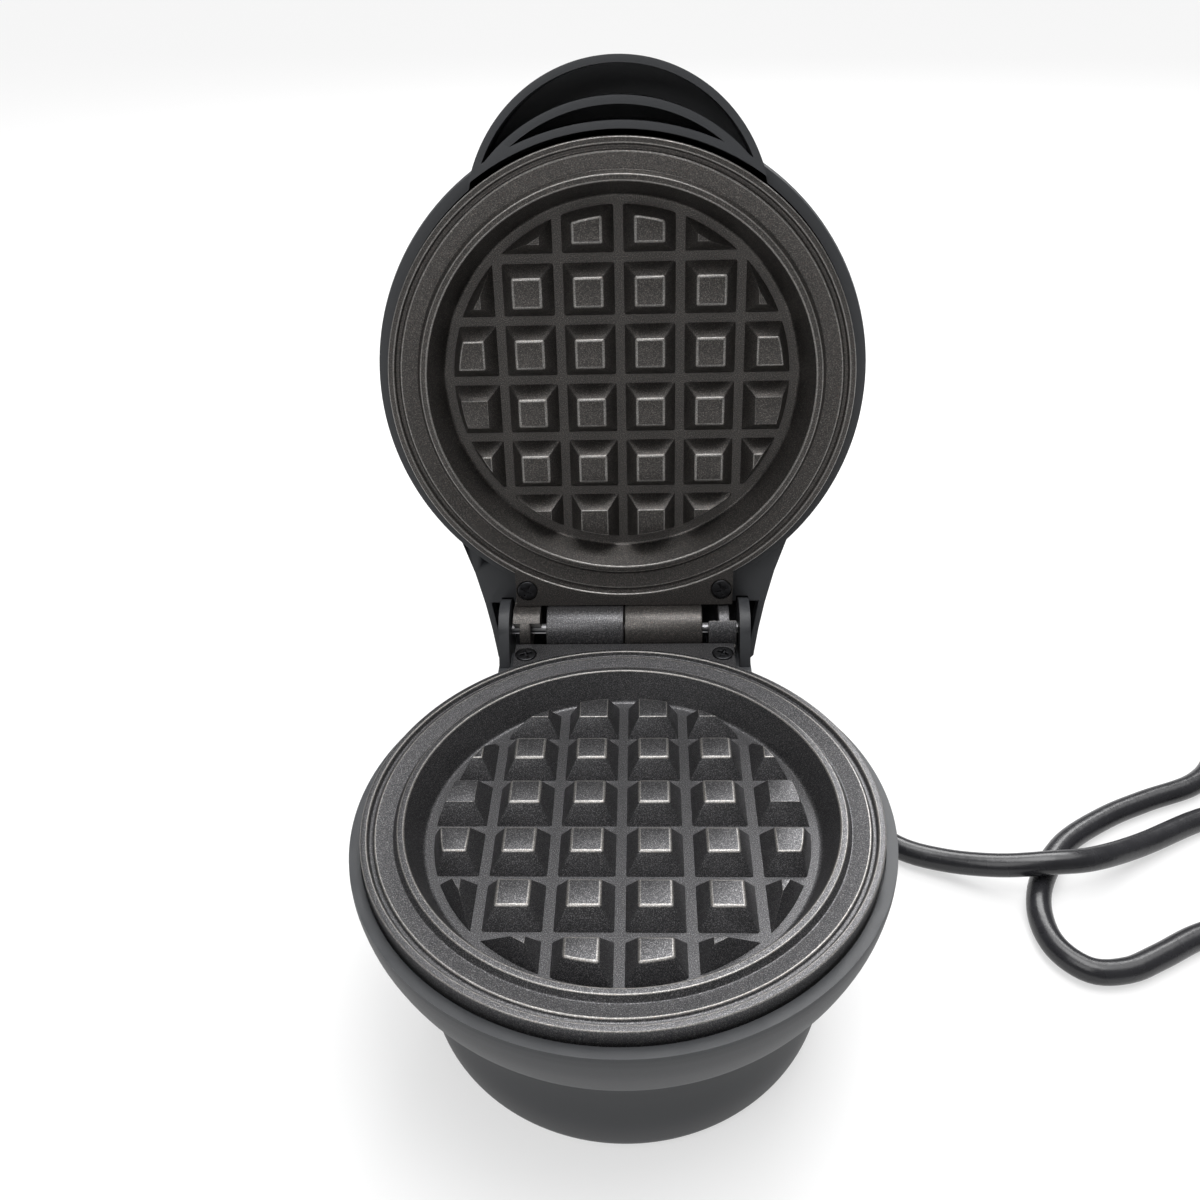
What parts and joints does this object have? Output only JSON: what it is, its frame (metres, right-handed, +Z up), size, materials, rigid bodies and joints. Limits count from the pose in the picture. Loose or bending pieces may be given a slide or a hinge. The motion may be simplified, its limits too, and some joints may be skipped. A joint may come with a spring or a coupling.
{
  "type": "mini waffle maker",
  "caption": "Small round waffle maker with its hinged lid open: gridded cooking plates in dark plastic housings on a drum base, a hollow handle, and a mains cord with its plug.",
  "frame": {"origin": "on the table, midway between the base's front and the open lid's back and in the middle of the width", "axes": "+Z up, +Y from the handle side of the base towards the hinge, +X along the hinge pin to the side where the cord lies"},
  "size_m": [0.3077, 0.2142, 0.2064],
  "materials": {
    "housing_plastic": "fine matte charcoal moulding",
    "plate_coating": "die-cast, dark speckled non-stick coating",
    "black_steel": "black oxide screw",
    "bright_steel": "bare or zinc-plated steel",
    "sheet_aluminium": "thin pressed sheet",
    "foot_rubber": "soft black rubber",
    "cord_pvc": "glossy black flexible PVC",
    "white_ceramic": "plain ceramic",
    "lead_sleeving": "woven glass sleeving",
    "lens_amber": "tinted clear lens",
    "lamp_glass": "clear glass"
  },
  "bodies": {
    "base": {"lower_housing": "housing_plastic", "base_cover": "bright_steel", "base_cover_screw_1": "bright_steel", "base_cover_screw_2": "bright_steel", "base_cover_screw_3": "bright_steel", "rubber_foot_1": "foot_rubber", "rubber_foot_2": "foot_rubber", "rubber_foot_3": "foot_rubber", "rubber_foot_4": "foot_rubber", "lower_cooking_plate": "plate_coating", "lower_plate_screw_left": "black_steel", "lower_plate_screw_right": "black_steel", "lower_heating_element": "bright_steel", "lower_heat_reflector": "sheet_aluminium", "lower_reflector_nut": "bright_steel", "thermostat": "white_ceramic", "thermal_fuse": "white_ceramic", "terminal_block": "white_ceramic", "mains_lead_live": "lead_sleeving", "mains_lead_neutral": "lead_sleeving", "lead_block_to_element": "lead_sleeving", "lead_element_to_thermostat": "lead_sleeving", "lead_thermostat_to_fuse": "lead_sleeving", "lead_fuse_to_block": "lead_sleeving", "lid_feed_lead_left": "lead_sleeving", "lid_feed_lead_right": "lead_sleeving", "hinge_pin": "bright_steel", "hinge_lead_sleeve": "foot_rubber", "cord_strain_relief": "cord_pvc", "cord_run": "cord_pvc", "cord_coil": "cord_pvc", "cord_tail": "cord_pvc", "plug_body": "cord_pvc", "plug_blade_left": "bright_steel", "plug_blade_right": "bright_steel"},
    "lid": {"lid_housing": "housing_plastic", "upper_cooking_plate": "plate_coating", "upper_plate_screw_left": "black_steel", "upper_plate_screw_right": "black_steel", "upper_heating_element": "bright_steel", "upper_heat_reflector": "sheet_aluminium", "upper_reflector_nut": "bright_steel", "indicator_lens": "lens_amber", "indicator_lamp": "lamp_glass", "upper_heater_lead_left": "lead_sleeving", "upper_heater_lead_right": "lead_sleeving"}
  },
  "joints": [
    {"name": "lid_hinge", "type": "hinge", "parent": "base", "child": "lid", "pos_m": [0, 0.04082, 0.0612], "axis": [1, 0, 0], "range_deg": [0, 98.4], "deforming": ["hinge_lead_sleeve"]}
  ]
}
